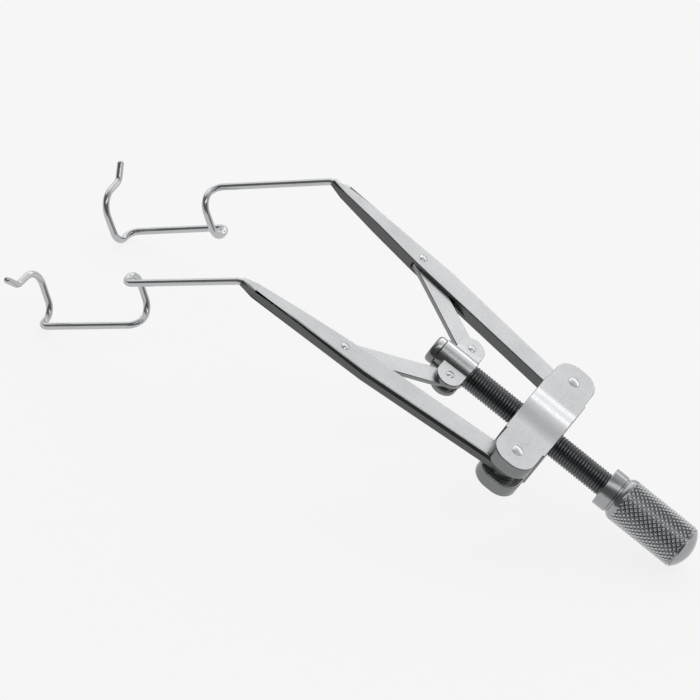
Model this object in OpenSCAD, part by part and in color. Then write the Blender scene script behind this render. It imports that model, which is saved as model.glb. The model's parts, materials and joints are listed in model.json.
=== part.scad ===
// Adjustable eye speculum: two wire blades on arms that a thumb screw spreads through a pair of links.
// Mechanism frame: X forward along the screw, Y across towards the upper arm, Z up, origin midway between
// the yoke pins. The whole object is then pitched so that it lies on its blades and its knob.

/* [Yoke] */
// Distance between the two arm pivots
arm_pivot_span = 14.2; // [13.6:0.1:17]
// Length of the yoke along the screw
yoke_len = 5.4; // [5:0.1:6.6]
// Height of the yoke
yoke_h = 5; // [4.6:0.1:6]
// How far each lobe reaches past its pivot
lobe_reach = 2.4; // [2.2:0.1:3]
// Width of each lobe along the screw
lobe_w = 5; // [4.6:0.1:5]
// Radius of the corners at the lobe's end
lobe_round = 2.1; // [1.2:0.1:2.1]
// Height of the crown that swells over the screw's bore
crown_rise = 0.45; // [0.2:0.05:0.6]
// Width of the crown
crown_w = 6.4; // [5:0.1:8]
// Radius of the rivets that the arms turn on
yoke_pin_r = 0.65; // [0.5:0.05:0.8]

/* [Arms] */
// Thickness of an arm
arm_t = 1.5; // [1.3:0.1:1.9]
// Pivot to tip, along an arm
arm_len = 34.6; // [32:0.2:38]
// Yoke pivot to link pivot, along an arm
link_pivot_reach = 21.5; // [20:0.1:23]
// Opening of each arm from the screw's line, as drawn
arm_angle = 6.2; // [4:0.1:8]
// Inner edge, measured from the line of the pivots
arm_inner = 1.25; // [1.1:0.05:1.4]
// Outer edge at the yoke, measured the same way
arm_outer = 1.5; // [1.3:0.05:1.6]
// Outer edge at the widest place
arm_outer_max = 1.75; // [1.65:0.05:2]
// Where the outer edge is widest
arm_widest_at = 18.3; // [16:0.1:20]
// Radius of the arm's end round its rivet
arm_end_r = 1.7; // [1.5:0.05:1.8]
// Width of the arm where its nose begins
tip_w = 1.3; // [1.1:0.05:1.5]
// Thickness of the arm where its nose begins
tip_t = 1.15; // [1.05:0.05:1.3]
// Length over which the arm thins towards its nose
tip_taper_len = 7; // [4:0.5:10]
// Length of the nose that narrows down to the wire
nose_len = 1.8; // [1:0.1:2.4]
// Width and thickness of the nose's end
nose_w = 0.96; // [0.94:0.02:1.04]
// Bevel along the outer edges
arm_bevel = 0.3; // [0.15:0.05:0.4]

/* [Wire blades] */
// Diameter of the wire
wire_d = 0.8; // [0.6:0.05:0.9]
// Length of wire held inside the arm's tip
wire_root = 2.6; // [1.5:0.1:4]
// Angle by which the shank is bent down
shank_drop = 48; // [40:1:55]
// Angle by which the shank is bent inwards from its arm
shank_toe = 7.6; // [4:0.2:10]
// Length of the shank
shank_len = 15.6; // [13:0.2:18]
// Inward reach of the hooks
hook_reach = 2.9; // [2.5:0.1:3.5]
// Depth of the hooks, from shank to bar
hook_depth = 5.2; // [4.8:0.1:6.5]
// Length of the bar that lies under the lid
bar_len = 13.1; // [10:0.1:16]
// Height by which the free end rises over the shank's line
end_rise = 0.7; // [0.4:0.1:1.2]
// Outward reach of the free end
end_reach = 1.2; // [0.8:0.1:1.6]
// Turned up length of the free end
end_curl = 2; // [1.6:0.1:2.6]
// Bend radius where the wire turns into a hook
corner_r = 1.2; // [0.7:0.05:1.2]
// Bend radius inside a hook
hook_r = 1.6; // [1:0.05:1.65]
// Bend radius of the free end where it rises past the shank's line
end_r = 2.2; // [1.5:0.1:2.4]

/* [Links and block] */
// Thickness of a link
link_t = 0.6; // [0.5:0.05:0.7]
// Width of a link
link_w = 2.2; // [2:0.05:2.3]
// Link length between its pivots
link_len = 12.5; // [12:0.1:13.5]
// Radius of the rivets through the links
link_pin_r = 0.45; // [0.4:0.01:0.5]
// Distance between the two pivots on the block
block_pivot_span = 5.4; // [5.2:0.1:6]
// Radius of the block's ears
ear_r = 1.55; // [1.4:0.05:1.7]
// Height of the block's ears
ear_h = 1.9; // [1.7:0.1:2.2]
// Radius of the block's barrel
barrel_r = 1.75; // [1.65:0.05:2]
// Length of the barrel in front of the rivets
barrel_front = 2.5; // [2.2:0.1:3]
// Length of the barrel behind the rivets
barrel_rear = 1.65; // [1.6:0.05:2]

/* [Screw and knob] */
// Outside radius of the thread
screw_r = 1.4; // [1.2:0.05:1.5]
// Radius of the screw's plain neck in the block
neck_r = 0.8; // [0.6:0.05:0.9]
// Radius of the retaining cap
cap_r = 1.6; // [1.3:0.05:1.7]
// Length of the retaining cap
cap_len = 0.95; // [0.8:0.05:1.5]
// Rounding of the cap's front edge
cap_round = 0.45; // [0.2:0.05:0.5]
// Screw showing between yoke and collar
rear_gap = 6.9; // [5:0.1:9]
// Radius of the knob's plain collar
collar_r = 2.3; // [2:0.05:2.5]
// Length of the collar
collar_len = 1.7; // [1.2:0.1:2.5]
// Radius of the knob
knob_r = 2.6; // [2.5:0.05:3.2]
// Length of the knob's grip
knob_len = 9.2; // [8:0.1:11]
// Rounding of the knob's front shoulder
knob_round = 0.9; // [0.4:0.05:1]
// Height of the knob's domed end
dome_h = 1; // [0.6:0.1:1.4]
// Depth of the screw inside the knob
knob_bore_depth = 7; // [5:0.1:8]

/* [Fits] */
// Radial clearance of rivets and of the screw
pin_gap = 0.03; // [0.02:0.01:0.06]
// Clearance on each side of an arm or a link in its slot
slot_gap = 0.05; // [0.04:0.01:0.08]
// Clearance beside the ends of arms and links in their slots
end_gap = 0.15; // [0.1:0.01:0.2]
// Axial play of the block on the screw's neck
block_play = 0.05; // [0.03:0.01:0.08]
// Extra radius of the hole at the block's end of each link
open_pivot_slack = 0.22; // [0.2:0.01:0.25]
// Degrees by which a link turns in its arm's slot until the blades meet, with a little to spare
link_closing_swing = 8.2; // [7.6:0.1:12]
// Degrees by which it turns until the blades are fully open, with a little to spare
link_opening_swing = 5.8; // [5.2:0.1:8]
// Clearance round a wire or rod that is soldered in its hole
solder_gap = 0.02; // [0.01:0.01:0.04]
// Height of each rivet's low domed head
rivet_dome = 0.13; // [0.08:0.01:0.18]

/* [Hidden] */
$fn = 64;
steel = [0.78, 0.79, 0.8];
bright_steel = [0.88, 0.88, 0.88];
dark_steel = [0.35, 0.36, 0.37];

over = 1;
arm_pivot_y = arm_pivot_span / 2;
block_pivot_y = block_pivot_span / 2;
wire_r = wire_d / 2;

// The links set where the block lies for the arms' opening
link_pivot_x = link_pivot_reach * cos(arm_angle);
link_pivot_y = arm_pivot_y + link_pivot_reach * sin(arm_angle);
link_angle = asin((link_pivot_y - block_pivot_y) / link_len);
block_x = link_pivot_x - link_len * cos(link_angle);
link_rel_angle = link_angle - arm_angle;

// The slot for a link lies between the smallest and the largest angle between link and arm
slot_closed_angle = link_rel_angle - link_closing_swing;
slot_open_angle = link_rel_angle + link_opening_swing;

nose_x = arm_len - nose_len;

// Places along the screw, front to rear
cap_rear_x = block_x + barrel_front + block_play;
screw_shoulder_x = block_x - barrel_rear - block_play;
collar_front_x = -yoke_len / 2 - rear_gap;
grip_front_x = collar_front_x - collar_len;
grip_rear_x = grip_front_x - knob_len;
screw_rear_x = collar_front_x - knob_bore_depth + solder_gap;
cap_bore_depth = cap_len - cap_round;

// Where the slots end, across the screw
slot_floor_y = arm_pivot_y - arm_end_r - end_gap;
link_slot_floor_y = block_pivot_y - link_w / 2 - end_gap;

// Radii of shallow arcs that are given by their width and height
function shallow_r(half_w, rise) = (half_w * half_w + rise * rise) / (2 * rise);
dome_r = shallow_r(knob_r, dome_h);
dome_center_x = grip_rear_x - dome_h + dome_r;

// Directions of the wire in the upper arm's frame: along the bar, inwards, and from shank to bar
bar_dir = [cos(shank_drop) * cos(shank_toe), -cos(shank_drop) * sin(shank_toe), -sin(shank_drop)];
inward_dir = [-sin(shank_toe), -cos(shank_toe), 0];
depth_dir = cross(bar_dir, inward_dir);

// The wire's bends: a corner point and a radius each, in the upper arm's frame
tip_point = [arm_len, 0, 0];
hook_start = tip_point + shank_len * bar_dir;
bar_start = hook_start + hook_depth * depth_dir;
bar_end = bar_start + bar_len * bar_dir;
free_corner = bar_end - (hook_depth + end_rise) * depth_dir - end_reach * inward_dir;
wire_corners = [
    [tip_point - [wire_root, 0, 0], 0],
    [tip_point, corner_r],
    [hook_start, corner_r],
    [hook_start + hook_reach * inward_dir, hook_r],
    [bar_start + hook_reach * inward_dir, hook_r],
    [bar_start, corner_r],
    [bar_end, corner_r],
    [bar_end + hook_reach * inward_dir, hook_r],
    [bar_end + hook_reach * inward_dir - (hook_depth + end_rise) * depth_dir, end_r],
    [free_corner, corner_r],
    [free_corner - end_curl * cos(45) * (inward_dir + depth_dir), 0]
];

function unit(v) = v / norm(v);

// Points of the arc that rounds corner i, from its first tangent point to its last
arc_steps = 6;
function corner_arc(c, i) =
    let(p = c[i][0], r = c[i][1])
    r == 0 ? [p] :
    let(d1 = unit(p - c[i - 1][0]),
        d2 = unit(c[i + 1][0] - p),
        turn = acos(max(-1, min(1, d1 * d2))),
        side = unit(d2 - (d1 * d2) * d1),
        start = p - r * tan(turn / 2) * d1)
    [for (k = [0:arc_steps])
        let(a = turn * k / arc_steps)
        start + r * sin(a) * d1 + r * (1 - cos(a)) * side];
wire_path = [for (i = [0:len(wire_corners) - 1]) each corner_arc(wire_corners, i)];

// A ring's axes are carried along the path, so that the tube isn't twisted
function ring_dir(path, i) =
    i == 0 ? unit(path[1] - path[0]) :
    i == len(path) - 1 ? unit(path[i] - path[i - 1]) :
    unit(unit(path[i + 1] - path[i]) + unit(path[i] - path[i - 1]));
function carried(prev, dir) = unit(prev - (prev * dir) * dir);
function ring_sides(path, i) =
    i == 0 ? [carried([0, 0, 1], ring_dir(path, 0))] :
    let(before = ring_sides(path, i - 1))
    concat(before, [carried(before[i - 1], ring_dir(path, i))]);
function ring(center, r, dir, side) =
    [for (k = [0:wire_facets - 1])
        let(a = 360 * k / wire_facets)
        center + r * (cos(a) * side + sin(a) * cross(dir, side))];

// Round wire along a path, with a rounded far end
wire_facets = 14;
tip_angles = [35, 65];
module swept_wire(path, r) {
    sides = ring_sides(path, len(path) - 1);
    last = len(path) - 1;
    end_dir = ring_dir(path, last);
    rings = concat(
        [for (i = [0:last]) ring(path[i], r, ring_dir(path, i), sides[i])],
        [for (a = tip_angles) ring(path[last] + r * sin(a) * end_dir, r * cos(a), end_dir, sides[last])]);
    top = len(rings) - 1;
    walls = [for (i = [0:top - 1], k = [0:wire_facets - 1])
        let(here = i * wire_facets, n = (k + 1) % wire_facets)
        each [[here + k, here + wire_facets + k, here + n],
              [here + n, here + wire_facets + k, here + wire_facets + n]]];
    near_end = [for (k = [0:wire_facets - 1]) k];
    far_end = [for (k = [wire_facets - 1:-1:0]) top * wire_facets + k];
    polyhedron([for (points = rings) each points], concat([near_end], walls, [far_end]), convexity = 8);
}

// How the object lies: a line under the knob's rear edge and the lowest place of the wire is level
function turned(p) = [p[0] * cos(arm_angle) - p[1] * sin(arm_angle),
                      arm_pivot_y + p[0] * sin(arm_angle) + p[1] * cos(arm_angle),
                      p[2]];
knob_edge = [grip_rear_x, 0, -knob_r];
function lean(p) =
    let(dx = p[0] - knob_edge[0], dz = knob_edge[2] - p[2])
    atan2(dz, dx) + asin(wire_r / norm([dx, dz]));
rest_pitch = max([for (p = wire_path) lean(turned(p))]);
function pitched(p) = [p[0] * cos(rest_pitch) - p[2] * sin(rest_pitch), p[1],
                       p[0] * sin(rest_pitch) + p[2] * cos(rest_pitch)];
floor_z = pitched(knob_edge)[2];
front_x = max([for (p = wire_path) pitched(turned(p))[0]]) + wire_r;
rear_x = pitched([dome_center_x, 0, 0])[0] - dome_r;

module at_rest() {
    translate([-(front_x + rear_x) / 2, 0, -floor_z])
        rotate([0, -rest_pitch, 0])
            children();
}
module upper_arm_frame() {
    translate([0, arm_pivot_y, 0])
        rotate([0, 0, arm_angle])
            children();
}
module lower() {
    mirror([0, 1, 0])
        children();
}
module link_frame() {
    translate([link_pivot_x, link_pivot_y, 0])
        rotate([0, 0, 180 + link_angle])
            children();
}

// A rivet with a low domed head at each end; h is the height between the faces that it holds
module rivet(r, h) {
    ball_r = shallow_r(r, rivet_dome);
    color(bright_steel)
        rotate_extrude()
            for (end = [0, 1])
                mirror([0, end]) {
                    square([r, h / 2]);
                    intersection() {
                        translate([0, h / 2 + rivet_dome - ball_r])
                            circle(r = ball_r);
                        square([r, h / 2 + rivet_dome]);
                    }
                }
}

// Both lobes and the bar between them, seen from above
module yoke_outline() {
    square([yoke_len, 2 * slot_floor_y], center = true);
    for (side = [0, 1])
        mirror([0, side])
            translate([0, arm_pivot_y])
                lobe_outline();
}
// A lobe runs from the screw's line to its rounded end past the rivet
module lobe_outline() {
    corner_x = lobe_w / 2 - lobe_round;
    corner_y = lobe_reach - lobe_round;
    for (x = [-corner_x, corner_x])
        translate([x, corner_y])
            circle(r = lobe_round);
    translate([-lobe_w / 2, -arm_pivot_y])
        square([lobe_w, arm_pivot_y + corner_y]);
    translate([-corner_x, -arm_pivot_y])
        square([2 * corner_x, arm_pivot_y + lobe_reach]);
}
// The crown's section across the screw: a soft wave that runs out level on both sides
crown_steps = 32;
function crown_z(y) = yoke_h / 2 + crown_rise * (1 + cos(360 * y / crown_w)) / 2;
module crown_section() {
    polygon(concat([[-crown_w / 2, 0]],
                   [for (k = [0:crown_steps])
                       let(y = crown_w * (k / crown_steps - 0.5))
                       [y, crown_z(y)]],
                   [[crown_w / 2, 0]]));
}
module yoke_crown() {
    rotate([90, 0, 90])
        linear_extrude(yoke_len, center = true)
            crown_section();
}
module yoke() {
    color(steel)
        at_rest()
            difference() {
                union() {
                    linear_extrude(yoke_h, center = true)
                        yoke_outline();
                    yoke_crown();
                    mirror([0, 0, 1])
                        yoke_crown();
                }
                for (side = [-1, 1]) {
                    translate([0, side * (slot_floor_y + yoke_len), 0])
                        cube([yoke_len + 2 * over, 2 * yoke_len, arm_t + 2 * slot_gap], center = true);
                    translate([0, side * arm_pivot_y, 0])
                        cylinder(r = yoke_pin_r + pin_gap, h = yoke_h + 2 * over, center = true);
                }
                rotate([0, 90, 0])
                    cylinder(r = screw_r + pin_gap, h = yoke_len + 2 * over, center = true);
            }
}
module yoke_pin_upper() {
    at_rest()
        translate([0, arm_pivot_y, 0])
            rivet(yoke_pin_r, yoke_h);
}
module yoke_pin_lower() {
    at_rest()
        translate([0, -arm_pivot_y, 0])
            rivet(yoke_pin_r, yoke_h);
}

module arm_outline() {
    circle(r = arm_end_r);
    polygon([[0, -arm_inner],
             [link_pivot_reach, -arm_inner],
             [nose_x, -tip_w / 2],
             [arm_len, -nose_w / 2],
             [arm_len, nose_w / 2],
             [nose_x, tip_w / 2],
             [arm_widest_at, arm_outer_max],
             [0, arm_outer]]);
}
module arm_side() {
    polygon([[-arm_end_r - over, -arm_t / 2],
             [arm_len - tip_taper_len, -arm_t / 2],
             [nose_x, -tip_t / 2],
             [arm_len, -nose_w / 2],
             [arm_len, nose_w / 2],
             [nose_x, tip_t / 2],
             [arm_len - tip_taper_len, arm_t / 2],
             [-arm_end_r - over, arm_t / 2]]);
}
// Bevel cut along an outer edge from one point to the next, at the top and the bottom. The one towards the tip
// runs out where the nose begins.
module edge_bevel(from, to) {
    run = to - from;
    for (face = [-1, 1])
        translate([from[0], from[1], face * arm_t / 2])
            rotate([0, 0, atan2(run[1], run[0])])
                rotate([45, 0, 0])
                    translate([0, -arm_bevel / sqrt(2), -arm_bevel / sqrt(2)])
                        cube([norm(run), sqrt(2) * arm_bevel, sqrt(2) * arm_bevel]);
}
// The link's slot, sawn in from the inner edge and round at the link's pivot
module link_slot() {
    r = link_w / 2 + end_gap;
    rear_start = r * [-sin(slot_closed_angle), cos(slot_closed_angle)];
    tip_start = r * [sin(slot_open_angle), -cos(slot_open_angle)];
    linear_extrude(link_t + 2 * slot_gap, center = true)
        translate([link_pivot_reach, 0]) {
            circle(r = r);
            polygon([rear_start,
                     rear_start - link_len * [cos(slot_closed_angle), sin(slot_closed_angle)],
                     tip_start - link_len * [cos(slot_open_angle), sin(slot_open_angle)],
                     tip_start]);
        }
}
module arm() {
    difference() {
        intersection() {
            linear_extrude(arm_t, center = true)
                arm_outline();
            rotate([90, 0, 0])
                linear_extrude(2 * (max(arm_end_r, arm_outer_max) + over), center = true)
                    arm_side();
        }
        edge_bevel([arm_end_r, arm_outer], [arm_widest_at, arm_outer_max]);
        edge_bevel([arm_widest_at, arm_outer_max], [arm_len, tip_w / 2]);
        link_slot();
        cylinder(r = yoke_pin_r + pin_gap, h = arm_t + 2 * over, center = true);
        translate([link_pivot_reach, 0, 0])
            cylinder(r = link_pin_r + pin_gap, h = arm_t + 2 * over, center = true);
        translate([arm_len - wire_root - solder_gap, 0, 0])
            rotate([0, 90, 0])
                cylinder(r = wire_r + solder_gap, h = wire_root + over);
    }
}
module arm_upper() {
    color(steel)
        at_rest()
            upper_arm_frame()
                arm();
}
module arm_lower() {
    color(steel)
        at_rest()
            lower()
                upper_arm_frame()
                    arm();
}
module blade() {
    swept_wire(wire_path, wire_r);
}
module blade_upper() {
    color(bright_steel)
        at_rest()
            upper_arm_frame()
                blade();
}
module blade_lower() {
    color(bright_steel)
        at_rest()
            lower()
                upper_arm_frame()
                    blade();
}
module arm_link_pin() {
    upper_arm_frame()
        translate([link_pivot_reach, 0, 0])
            rivet(link_pin_r, arm_t);
}
module arm_link_pin_upper() {
    at_rest()
        arm_link_pin();
}
module arm_link_pin_lower() {
    at_rest()
        lower()
            arm_link_pin();
}

// A flat link, drawn from its pivot on the arm to its pivot on the block
module link() {
    linear_extrude(link_t, center = true)
        difference() {
            union() {
                for (x = [0, link_len])
                    translate([x, 0])
                        circle(r = link_w / 2);
                translate([0, -link_w / 2])
                    square([link_len, link_w]);
            }
            circle(r = link_pin_r + pin_gap);
            translate([link_len, 0])
                circle(r = link_pin_r + open_pivot_slack);
        }
}
module link_upper() {
    color(steel)
        at_rest()
            link_frame()
                link();
}
module link_lower() {
    color(steel)
        at_rest()
            lower()
                link_frame()
                    link();
}

// The block's barrel, or with another radius and more at each end the bore through it
module block_barrel(r, longer = 0) {
    translate([-barrel_rear - longer, 0, 0])
        rotate([0, 90, 0])
            cylinder(r = r, h = barrel_rear + barrel_front + 2 * longer);
}
module block() {
    ear_end_y = block_pivot_y + ear_r;
    color(steel)
        at_rest()
            translate([block_x, 0, 0])
                difference() {
                    union() {
                        block_barrel(barrel_r);
                        linear_extrude(ear_h, center = true) {
                            square([2 * ear_r, block_pivot_span], center = true);
                            for (side = [-1, 1])
                                translate([0, side * block_pivot_y])
                                    circle(r = ear_r);
                        }
                    }
                    for (side = [-1, 1]) {
                        translate([0, side * (link_slot_floor_y + ear_end_y), 0])
                            cube([2 * barrel_r + 2 * barrel_front, 2 * ear_end_y, link_t + 2 * slot_gap],
                                 center = true);
                        translate([0, side * block_pivot_y, 0])
                            cylinder(r = link_pin_r + pin_gap, h = ear_h + 2 * over, center = true);
                    }
                    block_barrel(neck_r + pin_gap, over);
                }
}
module block_pin_upper() {
    at_rest()
        translate([block_x, block_pivot_y, 0])
            rivet(link_pin_r, ear_h);
}
module block_pin_lower() {
    at_rest()
        translate([block_x, -block_pivot_y, 0])
            rivet(link_pin_r, ear_h);
}

module screw() {
    color(dark_steel)
        at_rest()
            translate([screw_rear_x, 0, 0])
                rotate([0, 90, 0]) {
                    cylinder(r = screw_r, h = screw_shoulder_x - screw_rear_x);
                    cylinder(r = neck_r, h = cap_rear_x + cap_bore_depth - solder_gap - screw_rear_x);
                }
}
module cap() {
    color(steel)
        at_rest()
            translate([cap_rear_x, 0, 0])
                rotate([0, 90, 0])
                    difference() {
                        rotate_extrude() {
                            square([cap_r, cap_len - cap_round]);
                            square([cap_r - cap_round, cap_len]);
                            translate([cap_r - cap_round, cap_len - cap_round])
                                circle(r = cap_round);
                        }
                        translate([0, 0, -over])
                            cylinder(r = neck_r + solder_gap, h = cap_bore_depth + over);
                    }
}
// Half of the knob's section: height is measured forwards from the rear end of the grip
module knob_section() {
    square([knob_r, knob_len - knob_round]);
    square([knob_r - knob_round, knob_len]);
    translate([knob_r - knob_round, knob_len - knob_round])
        circle(r = knob_round);
    square([collar_r, knob_len + collar_len]);
    intersection() {
        translate([0, dome_r - dome_h])
            circle(r = dome_r);
        translate([0, -dome_h])
            square([knob_r, dome_h + knob_round]);
    }
}
module knob() {
    color(bright_steel)
        at_rest()
            translate([grip_rear_x, 0, 0])
                rotate([0, 90, 0])
                    difference() {
                        rotate_extrude()
                            intersection() {
                                knob_section();
                                translate([0, -dome_h])
                                    square([knob_r, dome_h + knob_len + collar_len]);
                            }
                        translate([0, 0, knob_len + collar_len - knob_bore_depth])
                            cylinder(r = screw_r + solder_gap, h = knob_bore_depth + over);
                    }
}

yoke();
yoke_pin_upper();
yoke_pin_lower();
arm_upper();
arm_lower();
blade_upper();
blade_lower();
arm_link_pin_upper();
arm_link_pin_lower();
link_upper();
link_lower();
block();
block_pin_upper();
block_pin_lower();
screw();
cap();
knob();
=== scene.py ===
# Adjustable eye speculum: materials, eased edges, finer wire, thread and knurl, floor, light and camera
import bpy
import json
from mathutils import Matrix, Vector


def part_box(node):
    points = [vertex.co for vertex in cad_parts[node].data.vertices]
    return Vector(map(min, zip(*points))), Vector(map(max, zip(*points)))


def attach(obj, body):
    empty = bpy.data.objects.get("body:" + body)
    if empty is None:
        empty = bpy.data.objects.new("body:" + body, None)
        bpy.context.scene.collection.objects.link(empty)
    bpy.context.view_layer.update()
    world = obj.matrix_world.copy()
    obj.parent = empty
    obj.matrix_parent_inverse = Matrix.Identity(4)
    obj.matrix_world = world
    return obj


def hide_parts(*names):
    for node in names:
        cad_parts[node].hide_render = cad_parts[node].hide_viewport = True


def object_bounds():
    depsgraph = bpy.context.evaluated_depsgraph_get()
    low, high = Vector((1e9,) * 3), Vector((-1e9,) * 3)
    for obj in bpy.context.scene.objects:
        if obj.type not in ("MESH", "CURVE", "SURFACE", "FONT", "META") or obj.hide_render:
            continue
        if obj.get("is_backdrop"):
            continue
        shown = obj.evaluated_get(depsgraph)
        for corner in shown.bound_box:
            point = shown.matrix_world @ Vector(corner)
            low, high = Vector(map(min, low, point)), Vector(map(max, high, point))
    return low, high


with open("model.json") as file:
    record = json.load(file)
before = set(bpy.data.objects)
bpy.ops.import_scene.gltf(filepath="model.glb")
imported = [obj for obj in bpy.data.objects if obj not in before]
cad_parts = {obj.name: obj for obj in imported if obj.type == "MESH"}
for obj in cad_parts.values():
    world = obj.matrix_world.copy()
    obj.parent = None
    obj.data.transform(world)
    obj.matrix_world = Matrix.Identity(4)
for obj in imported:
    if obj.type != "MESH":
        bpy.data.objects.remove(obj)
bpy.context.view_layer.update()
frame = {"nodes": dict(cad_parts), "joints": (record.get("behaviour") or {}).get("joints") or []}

import json
from math import asin, atan2, ceil, cos, degrees, pi, radians, sin, tan

import bmesh
import bpy
from mathutils import Matrix, Vector

# Lengths are in millimetres and in the mechanism's or an arm's frame, unless a comment says metres
MM = 0.001
nodes = frame["nodes"]
joints = {joint["name"]: joint for joint in frame["joints"]}


# Frames of the mechanism and of the arms, read from the joints

def frame_matrix(origin, x_axis, y_axis, z_axis):
    """Matrix from millimetres along three axes to metres in the row frame."""
    rotation = Matrix((x_axis, y_axis, z_axis)).transposed()
    return Matrix.Translation(origin) @ rotation.to_4x4() @ Matrix.Scale(MM, 4)


forward = Vector(joints["block_slide"]["axis"]).normalized()
upward = Vector(joints["arm_upper_swing"]["axis"]).normalized()
sideways = upward.cross(forward)
screw_origin = Vector(joints["screw_turn"]["pos_m"])
screw_tilt = atan2(forward.z, forward.x)
mechanism = frame_matrix(screw_origin, forward, sideways, upward)

arm_pivot = Vector(joints["arm_upper_swing"]["pos_m"])
link_pivot = Vector(joints["link_upper_swing"]["pos_m"])
along_arm = (link_pivot - arm_pivot).normalized()
arm_turn = degrees(atan2(along_arm.dot(sideways), along_arm.dot(forward)))
upper_arm = frame_matrix(arm_pivot, along_arm, upward.cross(along_arm), upward)
mirrored = Matrix.Diagonal((1, -1, 1, 1))
arm_frames = {"upper": upper_arm, "lower": mirrored @ upper_arm}


def extent(name):
    """Lowest and highest corner of a CAD node in the mechanism's frame."""
    to_mechanism = mechanism.inverted()
    points = [to_mechanism @ vertex.co for vertex in nodes[name].data.vertices]
    return [Vector(pick(point[axis] for point in points) for axis in range(3)) for pick in (min, max)]


# Mesh helpers

SMOOTH_ANGLE = radians(40)


def new_piece(name, mesh, material, smooth_angle):
    """An object of a mesh, smooth where its faces meet at less than an angle."""
    piece = bpy.data.objects.new(name, mesh)
    bpy.context.scene.collection.objects.link(piece)
    mesh.materials.append(material)
    mesh.shade_smooth()
    mesh.set_sharp_from_angle(angle=smooth_angle)
    return piece


def add_mesh(name, points, faces, body, replaced, material, smooth_angle=SMOOTH_ANGLE):
    """A piece from points in the row frame, riding on a body and standing for a CAD node."""
    mesh = bpy.data.meshes.new(name)
    mesh.from_pydata([tuple(point) for point in points], [], faces)
    mesh.validate()
    mesh.update()
    piece = new_piece(name, mesh, material, smooth_angle)
    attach(piece, body)
    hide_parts(replaced)
    return piece


def ring(x, r, sides):
    """Points of a circle about the screw's axis."""
    turns = [2 * pi * k / sides for k in range(sides)]
    return [Vector((x, r * cos(turn), r * sin(turn))) for turn in turns]


def ring_faces(rings, sides):
    """Quads between rings of points that follow each other, closed round."""
    faces = []
    for i in range(rings - 1):
        for k in range(sides):
            n = (k + 1) % sides
            faces.append((i * sides + k, i * sides + n, (i + 1) * sides + n, (i + 1) * sides + k))
    return faces


# Node helpers

def new_material(name):
    material = bpy.data.materials.new(name)
    material.use_nodes = True
    tree = material.node_tree
    tree.nodes.clear()
    return material, tree


def node(tree, kind, inputs=None, **settings):
    """A shader node. Each input is a value or the output of another node."""
    made = tree.nodes.new(kind)
    for key, value in settings.items():
        setattr(made, key, value)
    for key, value in (inputs or {}).items():
        if isinstance(value, bpy.types.NodeSocket):
            tree.links.new(value, made.inputs[key])
        else:
            made.inputs[key].default_value = value
    return made


def math_node(tree, operation, *values, **settings):
    made = node(tree, "ShaderNodeMath", dict(enumerate(values)), operation=operation, **settings)
    return made.outputs[0]


def vector_node(tree, operation, *values, output="Vector"):
    made = node(tree, "ShaderNodeVectorMath", dict(enumerate(values)), operation=operation)
    return made.outputs[output]


def noise(tree, place, scale, detail, roughness=0.5):
    inputs = {"Vector": place, "Scale": scale, "Detail": detail, "Roughness": roughness}
    return node(tree, "ShaderNodeTexNoise", inputs).outputs[0]


def shifted(tree, value, low, high, start=0.0, end=1.0):
    """value, from start to end, spread over low to high."""
    return node(tree, "ShaderNodeMapRange", {0: value, 1: start, 2: end, 3: low, 4: high}).outputs[0]


def two_tones(tree, value, first, last):
    """Colour between two colours, as value goes from 0 to 1."""
    ramp = node(tree, "ShaderNodeValToRGB", {"Fac": value})
    for stop, color in zip(ramp.color_ramp.elements, (first, last)):
        stop.color = (*color, 1)
    return ramp.outputs[0]


# Steel

# Size of a noise, as repeats in a metre
MARK_SCALE = 9000.0
CLOUD_SCALE = 260.0
FINE_SCALE = 3500.0
# Part of a noise's range that it fills for the most
NOISE_RANGE = (0.3, 0.7)
# How much lighter and darker the clouds make the steel
WEAR = 0.04
# Share of the roughness that the marks give, and what the clouds add to it
MARK_ROUGHNESS = (0.75, 1.3)
CLOUD_ROUGHNESS = (-0.03, 0.04)
FINE_SHARE = 0.35
# Height of the bump, in metres
BUMP_HEIGHT = 0.00002
# Share of a face's normal that points up or down, up to which it gets the full painted shade of a side and
# from which it gets none
SIDE_SHADE_RANGE = (0.8, 0.99)


def painted_groove_shade(tree, place, groove_r, groove_shade):
    """Painted shade in the grooves round the screw's axis: a share that is darkest at their bottom and 1 at
    their top.
    """
    from_axis = vector_node(tree, "SUBTRACT", place, screw_origin)
    square = vector_node(tree, "CROSS_PRODUCT", from_axis, forward)
    radius = vector_node(tree, "LENGTH", square, output="Value")
    return shifted(tree, radius, groove_shade, 1.0, groove_r[0] * MM, groove_r[1] * MM)


def painted_side_shade(tree, side_shade):
    """Painted shade: a share that darkens the sides to their shade's tone and leaves 1 on the faces above
    and below.
    """
    normal = node(tree, "ShaderNodeTexCoord").outputs["Normal"]
    lift = vector_node(tree, "DOT_PRODUCT", normal, upward, output="Value")
    flat = math_node(tree, "ABSOLUTE", lift)
    return shifted(tree, flat, side_shade, 1.0, *SIDE_SHADE_RANGE)


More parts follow.
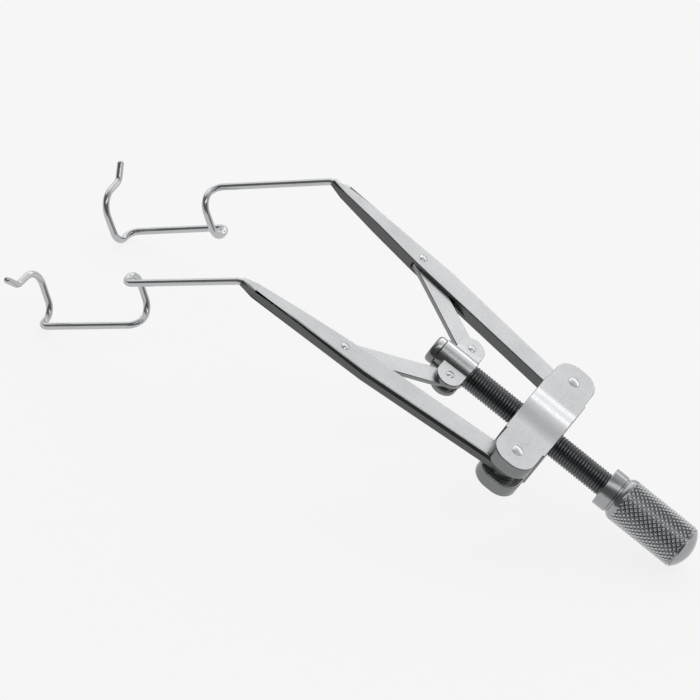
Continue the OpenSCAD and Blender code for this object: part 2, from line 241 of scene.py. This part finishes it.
def steel(name, color, roughness, grain=(1, 1, 1), grain_depth=0.15, turn=0.0,
          side_shade=1.0, groove_r=None, groove_shade=1.0):
    """Bare steel. grain is how much the polishing marks are drawn out along each axis of the mechanism,
    turned by turn degrees, and grain_depth is how strongly they show as relief.
    side_shade is how dark the painted shade makes the sides against the faces above and below.
    groove_r is the radius about the screw's axis at the bottom of the grooves with painted shade and at
    their top, and groove_shade is how dark that painted shade is."""
    material, tree = new_material(name)
    place = node(tree, "ShaderNodeTexCoord").outputs["Object"]
    level = node(tree, "ShaderNodeVectorRotate", {"Vector": place, "Angle": screw_tilt},
                 rotation_type="Y_AXIS").outputs[0]
    along = node(tree, "ShaderNodeVectorRotate", {"Vector": level, "Angle": -radians(turn)},
                 rotation_type="Z_AXIS").outputs[0]
    marks = noise(tree, vector_node(tree, "MULTIPLY", along, grain), MARK_SCALE, 3.0, 0.6)
    clouds = noise(tree, place, CLOUD_SCALE, 4.0, 0.55)
    fine = noise(tree, place, FINE_SCALE, 2.0)
    worn, bright = ([min(1, c * share) for c in color] for share in (1 - WEAR, 1 + WEAR))
    tone = two_tones(tree, shifted(tree, clouds, 0.0, 1.0, *NOISE_RANGE), worn, bright)
    # Painted shade: this share darkens the colour in the grooves or on the sides
    if groove_r:
        share = painted_groove_shade(tree, place, groove_r, groove_shade)
    else:
        share = painted_side_shade(tree, side_shade)
    base = node(tree, "ShaderNodeVectorMath", {0: tone, "Scale": share}, operation="SCALE").outputs[0]
    low, high = (roughness * mark_share for mark_share in MARK_ROUGHNESS)
    rough = math_node(tree, "ADD", shifted(tree, marks, low, high, *NOISE_RANGE),
                      shifted(tree, clouds, *CLOUD_ROUGHNESS, *NOISE_RANGE))
    relief = math_node(tree, "ADD", marks, shifted(tree, fine, 0.0, FINE_SHARE))
    bump = node(tree, "ShaderNodeBump", {"Strength": grain_depth, "Distance": BUMP_HEIGHT, "Height": relief})
    shader = node(tree, "ShaderNodeBsdfPrincipled",
                  {"Base Color": base, "Metallic": 1.0, "Roughness": rough, "Normal": bump.outputs[0]})
    node(tree, "ShaderNodeOutputMaterial", {"Surface": shader.outputs[0]})
    return material


YOKE_COLOR = (0.64, 0.65, 0.66)
ARM_COLOR = (0.66, 0.67, 0.68)
LINK_COLOR = (0.72, 0.73, 0.74)
RIVET_COLOR = (0.62, 0.63, 0.64)
WIRE_COLOR = (0.5, 0.51, 0.52)
# The thread's steel is made far darker than the other steel: painted shade on the thread
SHADED_THREAD_COLOR = (0.12, 0.124, 0.128)
KNOB_COLOR = (0.36, 0.368, 0.376)
KNURL_COLOR = (0.54, 0.55, 0.56)
# How dark the painted shade makes the sides against the faces above and below
SIDE_SHADE = 0.34
BLOCK_SIDE_SHADE = 0.3
ARM_SIDE_SHADE = 0.17
# How dark the painted shade makes the bottom of the knurl's grooves
GROOVE_SHADE = 0.45
# Depth below the knob's outside at which the painted shade in its knurl is darkest, and at which it ends
GROOVE_SHADE_DEPTHS = (0.13, 0.03)
ACROSS_GRAIN = (1.0, 0.06, 1.0)
ARM_GRAIN = (0.05, 1.0, 1.0)
SMALL_GRAIN = (0.1, 1.0, 1.0)
TURNED_GRAIN = (1.0, 0.2, 0.2)

knob_r = extent("knob")[1].y
satin_yoke = steel("satin_yoke", YOKE_COLOR, 0.28, grain=ACROSS_GRAIN, side_shade=SIDE_SHADE)
satin_arms = {side: steel("satin_arm_" + side, ARM_COLOR, 0.26, grain=ARM_GRAIN, turn=turn,
                          side_shade=ARM_SIDE_SHADE)
              for side, turn in (("upper", arm_turn), ("lower", -arm_turn))}
satin_link = steel("satin_link", LINK_COLOR, 0.26, grain=SMALL_GRAIN, side_shade=SIDE_SHADE)
satin_block = steel("satin_block", LINK_COLOR, 0.26, grain=SMALL_GRAIN, side_shade=BLOCK_SIDE_SHADE)
rivet_steel = steel("rivet_steel", RIVET_COLOR, 0.22)
wire_steel = steel("wire_steel", WIRE_COLOR, 0.17, grain_depth=0.08)
shaded_thread_steel = steel("shaded_thread_steel", SHADED_THREAD_COLOR, 0.3)
knob_steel = steel("knob_steel", KNOB_COLOR, 0.22, grain=TURNED_GRAIN)
knurl_steel = steel("knurl_steel", KNURL_COLOR, 0.24, grain=TURNED_GRAIN,
                    groove_r=[knob_r - depth for depth in GROOVE_SHADE_DEPTHS], groove_shade=GROOVE_SHADE)

for piece in nodes.values():
    piece.data.materials.clear()
    piece.data.materials.append(rivet_steel)


# Flat pieces with eased edges, each made from the solid that it stands for

RIVETS = ["yoke_pin_upper", "yoke_pin_lower", "arm_link_pin_upper", "arm_link_pin_lower",
          "block_pin_upper", "block_pin_lower"]
RIVET_SEAT = 0.9
SEAM = 0.0005
FLAT_ANGLE = radians(0.4)
EDGE_ANGLE = radians(35)
EDGE_STEPS = 3
YOKE_EASE = 0.14
ARM_EASE = 0.13
LINK_EASE = 0.08
BLOCK_EASE = 0.08
CAP_EASE = 0.06
ARM_LEN = 34.6
NOSE_LEN = 1.8
NOSE_EASE = 0.3
NOSE_STEPS = 4
NOSE_END_R = 0.47
NEAR = 0.02


def rivet_center(name):
    low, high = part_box(name)
    return (Vector(low) + Vector(high)) / 2


rivet_centers = [rivet_center(name) for name in RIVETS]


def in_rivet_seat(point):
    """Whether a point lies so near a rivet's axis that the edge there stays crisp."""
    return any((point - center).cross(upward).length < RIVET_SEAT * MM for center in rivet_centers)


def ease(shape, edges, width, steps):
    bmesh.ops.bevel(shape, geom=edges, offset=width * MM, segments=steps, profile=0.5, affect="EDGES",
                    clamp_overlap=False)


def settle_faces(shape):
    """Put the faces in the order of their corners: a second bevel leaves them in another one each run."""
    shape.verts.index_update()
    count = len(shape.verts)

    def rank(face):
        first, second, third = sorted(vertex.index for vertex in face.verts)[:3]
        return (first * count + second) * count + third

    shape.faces.sort(key=rank)


def round_nose(shape, to_arm):
    """The arm's nose gets a round end, a little thicker than the wire that it holds."""
    def in_nose(vertex):
        place = to_arm @ vertex.co
        return place.x > ARM_LEN - NOSE_LEN - NEAR and place.yz.length > NOSE_END_R + NEAR

    def length_along(edge):
        first, last = (to_arm @ vertex.co for vertex in edge.verts)
        return abs(first.x - last.x)

    long_edges = [edge for edge in shape.edges
                  if all(in_nose(vertex) for vertex in edge.verts) and length_along(edge) > NOSE_LEN / 2]
    ease(shape, long_edges, NOSE_EASE, NOSE_STEPS)
    for vertex in shape.verts:
        place = to_arm @ vertex.co
        reach = place.yz.length
        if place.x > ARM_LEN - NEAR and reach > NOSE_END_R:
            place.yz = place.yz * NOSE_END_R / reach
            vertex.co = to_arm.inverted() @ place
    bmesh.ops.remove_doubles(shape, verts=shape.verts, dist=SEAM * MM)
    settle_faces(shape)


def eased_piece(name, source, body, width, material, to_arm=None):
    """The solid of a CAD node with its outer edges eased, except in rivet seats and round an arm's nose."""
    shape = bmesh.new()
    shape.from_mesh(nodes[source].data)
    bmesh.ops.remove_doubles(shape, verts=shape.verts, dist=SEAM * MM)
    bmesh.ops.dissolve_limit(shape, angle_limit=FLAT_ANGLE, verts=shape.verts, edges=shape.edges)
    chosen = []
    for edge in shape.edges:
        middle = (edge.verts[0].co + edge.verts[1].co) / 2
        if not edge.is_manifold or edge.calc_face_angle_signed() < EDGE_ANGLE or in_rivet_seat(middle):
            continue
        if not to_arm or (to_arm @ middle).x < ARM_LEN - NOSE_LEN - NEAR:
            chosen.append(edge)
    ease(shape, chosen, width, EDGE_STEPS)
    if to_arm:
        round_nose(shape, to_arm)
    mesh = bpy.data.meshes.new(name)
    shape.to_mesh(mesh)
    shape.free()
    piece = new_piece(name, mesh, material, EDGE_ANGLE)
    weighted = piece.modifiers.new("even_flats", "WEIGHTED_NORMAL")
    weighted.keep_sharp = True
    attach(piece, body)
    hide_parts(source)


eased_piece("yoke_body", "yoke", "yoke", YOKE_EASE, satin_yoke)
eased_piece("block_body", "block", "block", BLOCK_EASE, satin_block)
eased_piece("screw_cap", "cap", "screw", CAP_EASE, satin_block)
for side, to_row in arm_frames.items():
    arm = "arm_" + side
    link = "link_" + side
    eased_piece("flat_" + arm, arm, arm, ARM_EASE, satin_arms[side], to_row.inverted())
    eased_piece("flat_" + link, link, link, LINK_EASE, satin_link)


# Wire blades, swept along the same corners as the solids

WIRE_R = 0.39
WIRE_ROOT = 2.6
SHANK_DROP = radians(48)
SHANK_TOE = radians(7.6)
SHANK_LEN = 15.6
HOOK_REACH = 2.9
HOOK_DEPTH = 5.2
BAR_LEN = 13.1
END_RISE = 0.7
END_REACH = 1.2
END_CURL = 2.0
CURL_ANGLE = radians(45)
CORNER_R = 1.2
HOOK_R = 1.6
END_R = 2.2
WIRE_SIDES = 24
ARC_STEP = radians(5)
TIP_STEPS = 6


def wire_corners():
    """Corner points of the wire and the radius of each bend, in the upper arm's frame."""
    bar = Vector((cos(SHANK_DROP) * cos(SHANK_TOE), -cos(SHANK_DROP) * sin(SHANK_TOE), -sin(SHANK_DROP)))
    inward = Vector((-sin(SHANK_TOE), -cos(SHANK_TOE), 0))
    deep = bar.cross(inward)
    tip = Vector((ARM_LEN, 0, 0))
    hook_start = tip + SHANK_LEN * bar
    bar_start = hook_start + HOOK_DEPTH * deep
    bar_end = bar_start + BAR_LEN * bar
    rise = (HOOK_DEPTH + END_RISE) * deep
    free_corner = bar_end - rise - END_REACH * inward
    return [
        (tip - Vector((WIRE_ROOT, 0, 0)), 0),
        (tip, CORNER_R),
        (hook_start, CORNER_R),
        (hook_start + HOOK_REACH * inward, HOOK_R),
        (bar_start + HOOK_REACH * inward, HOOK_R),
        (bar_start, CORNER_R),
        (bar_end, CORNER_R),
        (bar_end + HOOK_REACH * inward, HOOK_R),
        (bar_end + HOOK_REACH * inward - rise, END_R),
        (free_corner, CORNER_R),
        (free_corner - END_CURL * cos(CURL_ANGLE) * (inward + deep), 0),
    ]


def rounded(corners):
    """Points along straight runs and the arcs that round their corners."""
    path = []
    for i, (corner, radius) in enumerate(corners):
        if not radius:
            path.append(corner)
            continue
        into = (corner - corners[i - 1][0]).normalized()
        out = (corners[i + 1][0] - corner).normalized()
        turn = into.angle(out)
        side = (out - out.dot(into) * into).normalized()
        start = corner - radius * tan(turn / 2) * into
        steps = ceil(turn / ARC_STEP)
        for k in range(steps + 1):
            a = turn * k / steps
            path.append(start + radius * sin(a) * into + radius * (1 - cos(a)) * side)
    return path


def tube(path, radius, sides):
    """Points and faces of a round tube along a path, with a rounded far end."""
    rings = []
    side = Vector((0, 0, 1))
    for i, point in enumerate(path):
        before = (point - path[i - 1]).normalized() if i else None
        after = (path[i + 1] - point).normalized() if i < len(path) - 1 else None
        heading = ((before or after) + (after or before)).normalized()
        side = (side - side.dot(heading) * heading).normalized()
        rings.append((point, radius, heading, side))
    for k in range(1, TIP_STEPS):
        a = pi / 2 * k / TIP_STEPS
        rings.append((path[-1] + radius * sin(a) * heading, radius * cos(a), heading, side))
    points = []
    for center, r, heading, side in rings:
        other = heading.cross(side)
        points += [center + r * (cos(2 * pi * k / sides) * side + sin(2 * pi * k / sides) * other)
                   for k in range(sides)]
    faces = ring_faces(len(rings), sides)
    faces.append(tuple(range(sides))[::-1])
    faces.append(tuple(range(len(points) - sides, len(points))))
    return points, faces


wire_points, wire_faces = tube(rounded(wire_corners()), WIRE_R, WIRE_SIDES)
for side, to_row in arm_frames.items():
    points = [to_row @ point for point in wire_points]
    faces = wire_faces if side == "upper" else [face[::-1] for face in wire_faces]
    add_mesh("wire_" + side, points, faces, "arm_" + side, "blade_" + side, wire_steel)


# Screw with a real thread

THREAD_PITCH = 0.35
THREAD_DEPTH = 0.1
THREAD_SIDES = 36
THREAD_SMOOTH = radians(30)
NECK_R = 0.8
# What is left open in the middle of the screw's front end
ROD_END_R = 0.001
BLOCK_PLAY = 0.05
# Share of the pitch and share of the depth along one thread form
THREAD_FORM = [(0.0, 1.0), (0.4, 1.0), (0.62, 0.1), (0.7, 0.0), (0.78, 0.1)]


def screw_mesh():
    """Points and faces of the threaded rod and its plain neck. Each turn ends where the next one starts."""
    low, high = extent("screw")
    shoulder = extent("block")[0].x - BLOCK_PLAY
    sides = THREAD_SIDES
    turns = ceil((shoulder - low.x) / THREAD_PITCH) + 1
    rings = [(low.x + (turn + share) * THREAD_PITCH, high.z - THREAD_DEPTH * (1 - height))
             for turn in range(-1, turns) for share, height in THREAD_FORM]
    points = []
    for x, r in rings:
        for k, point in enumerate(ring(x, r, sides)):
            point.x = min(max(x + THREAD_PITCH * k / sides, low.x), shoulder)
            points.append(point)
    faces = []
    for i in range(len(rings) - 1):
        for k in range(sides):
            n = (k + 1) % sides
            j = i if n else i + len(THREAD_FORM)
            if j + 1 < len(rings):
                faces.append((j * sides + n, (j + 1) * sides + n, (i + 1) * sides + k, i * sides + k))
    neck = [(shoulder, high.z - THREAD_DEPTH), (shoulder, NECK_R), (high.x, NECK_R), (high.x, ROD_END_R)]
    faces += [tuple(len(points) + index for index in face) for face in ring_faces(len(neck), sides)]
    for x, r in neck:
        points += ring(x, r, sides)
    return points, faces


screw_points, screw_faces = screw_mesh()
add_mesh("threaded_rod", [mechanism @ point for point in screw_points], screw_faces, "screw", "screw",
         shaded_thread_steel, THREAD_SMOOTH)


# Knob with diamond knurling

KNURL_COUNT = 26
KNURL_DEPTH = 0.15
KNURL_DIV = 10
KNURL_FLAT = 0.55
KNURL_MARGIN = 0.1
KNOB_ROUND = 0.9
KNOB_SMOOTH = radians(25)
SHOULDER_STEPS = 8
BORE_GAP = 0.03
COLLAR_R = 2.3
COLLAR_LEN = 1.7
COLLAR_ROUND = 0.12
COLLAR_STEPS = 4
# Steps from the collar down to the grip's shoulder: how far ahead of the grip and how deep
COLLAR_GROOVE = [(0.12, 0.0), (0.02, 0.1), (-0.08, 0.1)]
EDGE_ROUND = 0.3
# Steps of the groove and the rim between the knurl and the domed end: how far back and how deep
END_GROOVE = [(0.0, 0.0), (0.04, 0.2), (0.12, 0.2), (0.16, 0.06), (0.24, 0.06), (0.28, 0.1), (0.3, 0.14)]
DOME_H = 1.0
DOME_STEPS = 12
# What is left open in the middle of the dome
DOME_END_R = 0.002


def knurl_height(u, v):
    """Height of a diamond knurl, from 0 in the grooves to 1 on the flattened crests."""
    waves = (abs(((u + v) % 1) * 2 - 1), abs(((u - v) % 1) * 2 - 1))
    return min(1, min(1 - w for w in waves) / KNURL_FLAT)


def collar_profile(front, grip_front):
    """Places along the screw and radii, from the bore round the collar to the grip's shoulder."""
    center_x = front - COLLAR_ROUND
    center_r = COLLAR_R - COLLAR_ROUND
    profile = [(front, extent("screw")[1].z + BORE_GAP), (front, center_r)]
    for k in range(1, COLLAR_STEPS + 1):
        a = pi / 2 * k / COLLAR_STEPS
        profile.append((center_x + COLLAR_ROUND * cos(a), center_r + COLLAR_ROUND * sin(a)))
    profile += [(grip_front + ahead, COLLAR_R - sink) for ahead, sink in COLLAR_GROOVE]
    return profile


def shoulder_profile(grip_front):
    """The round shoulder, from the radius where the collar's groove ends to the grip's."""
    center_x = grip_front - KNOB_ROUND
    center_r = knob_r - KNOB_ROUND
    start = asin((COLLAR_R - COLLAR_GROOVE[-1][1] - center_r) / KNOB_ROUND)
    turns = [start + (pi / 2 - start) * k / SHOULDER_STEPS for k in range(SHOULDER_STEPS + 1)]
    return [(center_x + KNOB_ROUND * cos(a), center_r + KNOB_ROUND * sin(a)) for a in turns]


def end_profile(rear):
    """The groove and rim behind the knurl, and the domed end."""
    profile = [(rear + EDGE_ROUND - back, knob_r - sink) for back, sink in END_GROOVE]
    edge_r = knob_r - END_GROOVE[-1][1]
    dome_r = (edge_r ** 2 + DOME_H ** 2) / (2 * DOME_H)
    spread = asin(edge_r / dome_r)
    for k in range(1, DOME_STEPS + 1):
        a = spread * (1 - k / DOME_STEPS)
        profile.append((rear - DOME_H + dome_r - dome_r * cos(a), max(dome_r * sin(a), DOME_END_R)))
    return profile


def knob_mesh():
    """Points and faces of the knob, and the numbers of its knurled faces."""
    low, high = extent("knob")
    rear = low.x + DOME_H
    grip_front = high.x - COLLAR_LEN
    sides = KNURL_COUNT * KNURL_DIV
    before = collar_profile(high.x, grip_front) + shoulder_profile(grip_front)
    after = end_profile(rear)
    knurl_front = grip_front - KNOB_ROUND - KNURL_MARGIN
    knurl_rear = rear + EDGE_ROUND + KNURL_MARGIN
    cell = 2 * pi * knob_r / KNURL_COUNT
    steps = round((knurl_front - knurl_rear) / cell) * KNURL_DIV
    points = []
    for x, r in before:
        points += ring(x, r, sides)
    for row in range(steps + 1):
        x = knurl_front + (knurl_rear - knurl_front) * row / steps
        for k in range(sides):
            r = knob_r - KNURL_DEPTH * (1 - knurl_height(k / KNURL_DIV, row / KNURL_DIV))
            a = 2 * pi * k / sides
            points.append(Vector((x, r * cos(a), r * sin(a))))
    for x, r in after:
        points += ring(x, r, sides)
    faces = ring_faces(len(before) + steps + 1 + len(after), sides)
    return points, faces, range(len(before) * sides, (len(before) + steps) * sides)


knob_points, knob_faces, knurled_faces = knob_mesh()
knob = add_mesh("knurled_knob", [mechanism @ point for point in knob_points], knob_faces, "screw", "knob",
                knob_steel, KNOB_SMOOTH)
knob.data.materials.append(knurl_steel)
for index in knurled_faces:
    knob.data.polygons[index].material_index = 1


# Floor of white paper

# Half its side, in metres
FLOOR_HALF = 3.0
# Share of plain white in what the camera and reflections see of it; the rest is lit and holds the shadow
FLOOR_WHITE = 0.82
PAPER_TONES = (0.885, 0.9)
PAPER_SCALE = 400.0

floor_mesh = bpy.data.meshes.new("floor")
floor_corners = [(x * FLOOR_HALF, y * FLOOR_HALF, 0) for x, y in ((-1, -1), (1, -1), (1, 1), (-1, 1))]
floor_mesh.from_pydata(floor_corners, [], [(0, 1, 2, 3)])
floor = bpy.data.objects.new("floor", floor_mesh)
bpy.context.scene.collection.objects.link(floor)
floor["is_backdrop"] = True
paper, tree = new_material("paper")
fibres = noise(tree, node(tree, "ShaderNodeTexCoord").outputs["Object"], PAPER_SCALE, 3.0)
tone = two_tones(tree, fibres, *((level, level, level) for level in PAPER_TONES))
shader = node(tree, "ShaderNodeBsdfPrincipled",
              {"Base Color": tone, "Roughness": 0.9, "Specular IOR Level": 0.1})
seen = node(tree, "ShaderNodeLightPath").outputs
direct = math_node(tree, "ADD", seen["Is Camera Ray"], seen["Is Glossy Ray"])
either = math_node(tree, "ADD", direct, seen["Is Transmission Ray"], use_clamp=True)
white_share = math_node(tree, "MULTIPLY", either, FLOOR_WHITE)
white = node(tree, "ShaderNodeEmission", {"Color": (1, 1, 1, 1), "Strength": 1.0}).outputs[0]
mixed = node(tree, "ShaderNodeMixShader", {0: white_share, 1: shader.outputs[0], 2: white}).outputs[0]
node(tree, "ShaderNodeOutputMaterial", {"Surface": mixed})
floor_mesh.materials.append(paper)


# Light: a studio, bright on the far side and dim behind the camera, two long strips and a wide, dim key

WORLD_DIM = 0.16
WORLD_BRIGHT = 0.85
# Share of a direction that points to the camera's side, where the studio starts to brighten and is brightest
WORLD_FADE = (0.25, -0.8)

world = bpy.data.worlds.new("studio")
bpy.context.scene.world = world
world.use_nodes = True
tree = world.node_tree
direction = node(tree, "ShaderNodeTexCoord").outputs["Generated"]
across = node(tree, "ShaderNodeSeparateXYZ", {"Vector": direction}).outputs["Y"]
level = node(tree, "ShaderNodeMapRange",
             {0: across, 1: WORLD_FADE[0], 2: WORLD_FADE[1], 3: WORLD_DIM, 4: WORLD_BRIGHT},
             interpolation_type="SMOOTHSTEP").outputs[0]
tree.links.new(level, tree.nodes["Background"].inputs["Strength"])
tree.nodes["Background"].inputs["Color"].default_value = (1, 1, 1, 1)

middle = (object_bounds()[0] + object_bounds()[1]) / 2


def softbox(name, direction, distance, size, radiance):
    """An area lamp that looks at the object. Its distance and size are in metres."""
    light = bpy.data.lights.new(name, "AREA")
    light.shape = "RECTANGLE"
    light.size, light.size_y = size
    light.energy = radiance * pi * size[0] * size[1]
    lamp = bpy.data.objects.new(name, light)
    bpy.context.scene.collection.objects.link(lamp)
    away = Vector(direction).normalized()
    lamp.location = middle + away * distance
    lamp.rotation_mode = "QUATERNION"
    lamp.rotation_quaternion = away.to_track_quat("Z", "Y")


def across_screw(angle):
    """Direction at an angle from straight up towards the far side, square to the screw."""
    return cos(radians(angle)) * upward - sin(radians(angle)) * sideways


softbox("far_strip", across_screw(64), distance=0.6, size=(0.7, 0.14), radiance=1.1)
softbox("top_strip", across_screw(-15), distance=0.6, size=(0.7, 0.16), radiance=1.5)
softbox("key", (0.6, -0.52, 0.6), distance=0.7, size=(0.8, 0.8), radiance=0.6)


# Camera, at the photograph's angle

IMAGE = 700
PX_PER_MM = 9.24
# Pixel at which the screw's origin lies
ORIGIN_PX = (535.5, 429.5)
# The camera's lean from straight above, its turn along the screw, and the picture's turn
TILT = radians(47)
TURN = radians(-2.5)
ROLL = radians(38.8)
CAMERA_DISTANCE = 700
SENSOR = 36
# Nearest and farthest that the camera sees, in metres
CLIP = (0.01, 20)

ahead = Vector((1, 0, 0))
facing = Vector((0, sin(TILT), cos(TILT)))
image_along = facing * sin(TURN) - ahead * cos(TURN)
image_across = Vector((0, -cos(TILT), sin(TILT)))
toward_camera = ahead * sin(TURN) + facing * cos(TURN)
camera_right = image_along * cos(ROLL) + image_across * sin(ROLL)
camera_up = -image_along * sin(ROLL) + image_across * cos(ROLL)
right_px = IMAGE / 2 - ORIGIN_PX[0]
down_px = IMAGE / 2 - ORIGIN_PX[1]
picture_center = (camera_right * right_px - camera_up * down_px) / PX_PER_MM

camera_data = bpy.data.cameras.new("camera")
camera_data.sensor_width = SENSOR
camera_data.lens = SENSOR * CAMERA_DISTANCE / (IMAGE / PX_PER_MM)
camera_data.clip_start, camera_data.clip_end = CLIP
camera = bpy.data.objects.new("camera", camera_data)
bpy.context.scene.collection.objects.link(camera)
in_mechanism = Matrix((camera_right, camera_up, toward_camera)).transposed()
turned = mechanism.to_3x3().normalized() @ in_mechanism
camera_place = mechanism @ (picture_center + toward_camera * CAMERA_DISTANCE)
camera.matrix_world = Matrix.Translation(camera_place) @ turned.to_4x4()
bpy.context.scene.camera = camera

bpy.context.scene.view_settings.view_transform = "Standard"
